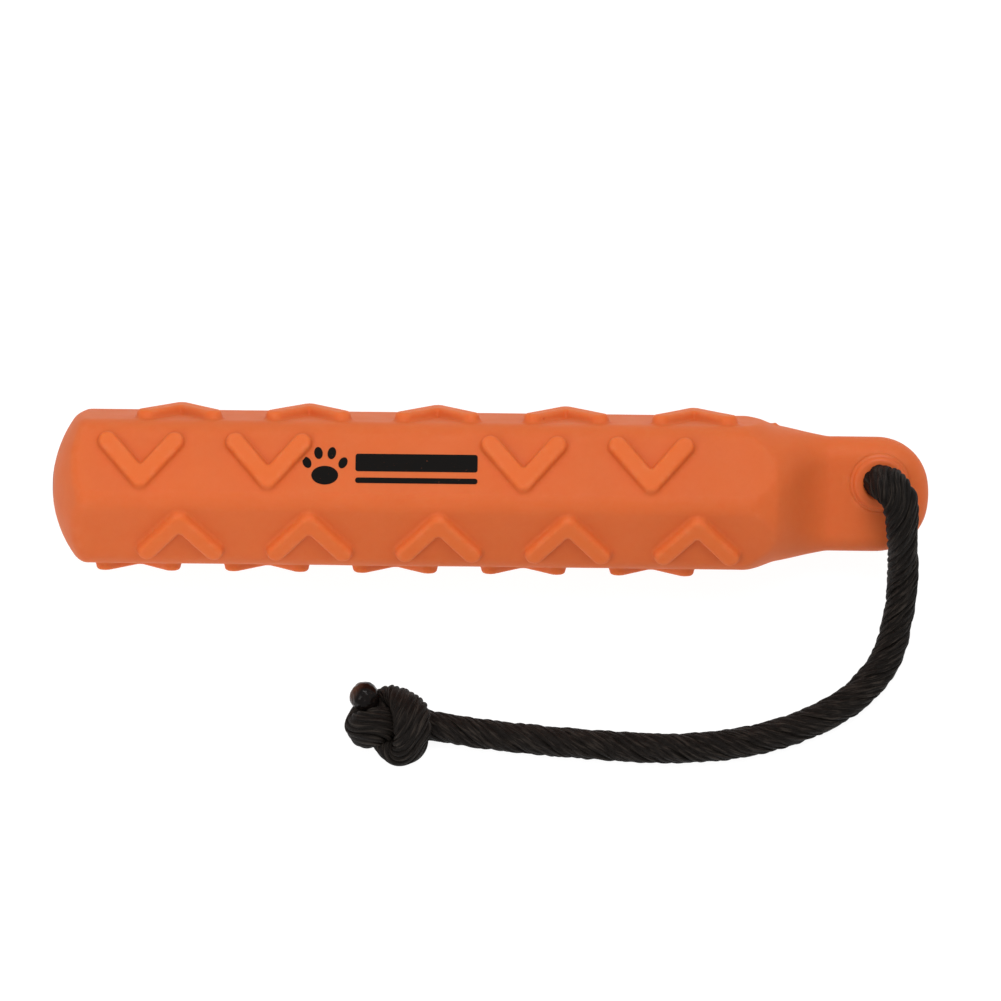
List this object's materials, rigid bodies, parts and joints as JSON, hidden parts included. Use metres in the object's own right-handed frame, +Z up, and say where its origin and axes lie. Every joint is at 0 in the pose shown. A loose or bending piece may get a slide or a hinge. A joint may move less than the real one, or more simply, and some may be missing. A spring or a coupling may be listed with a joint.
{
  "type": "dog training bumper",
  "caption": "Hollow hexagonal retrieving bumper with raised chevron ribs, a rounded nose and a flat end tab that carries a knotted throw rope.",
  "frame": {"origin": "on the floor under the middle of the float: half way from nose to tab end, on the centre plane of the barrel, at the height of the rib tops it lies on", "axes": "+X from the closed nose to the rope tab, +Z up from the flat it lies on, +Y away from the side where the rope lies"},
  "size_m": [0.3048, 0.1224, 0.0566],
  "materials": {
    "vinyl": "soft matte orange vinyl",
    "eyelet_vinyl": "harder, slightly glossier orange vinyl",
    "valve_rubber": "dark self-sealing rubber",
    "rope": "black twisted multifilament",
    "melted_rope": "fused rope end, dark brown-black and glossy",
    "ink": "black pad print"
  },
  "bodies": {
    "root": {"body_shell": "vinyl", "rope_eyelet": "eyelet_vinyl", "needle_valve": "valve_rubber", "throw_rope": "rope", "throw_knot": "rope", "throw_knot_tip": "melted_rope", "stopper_knot": "rope", "stopper_knot_tip": "melted_rope", "printed_mark": "ink"}
  },
  "joints": []
}
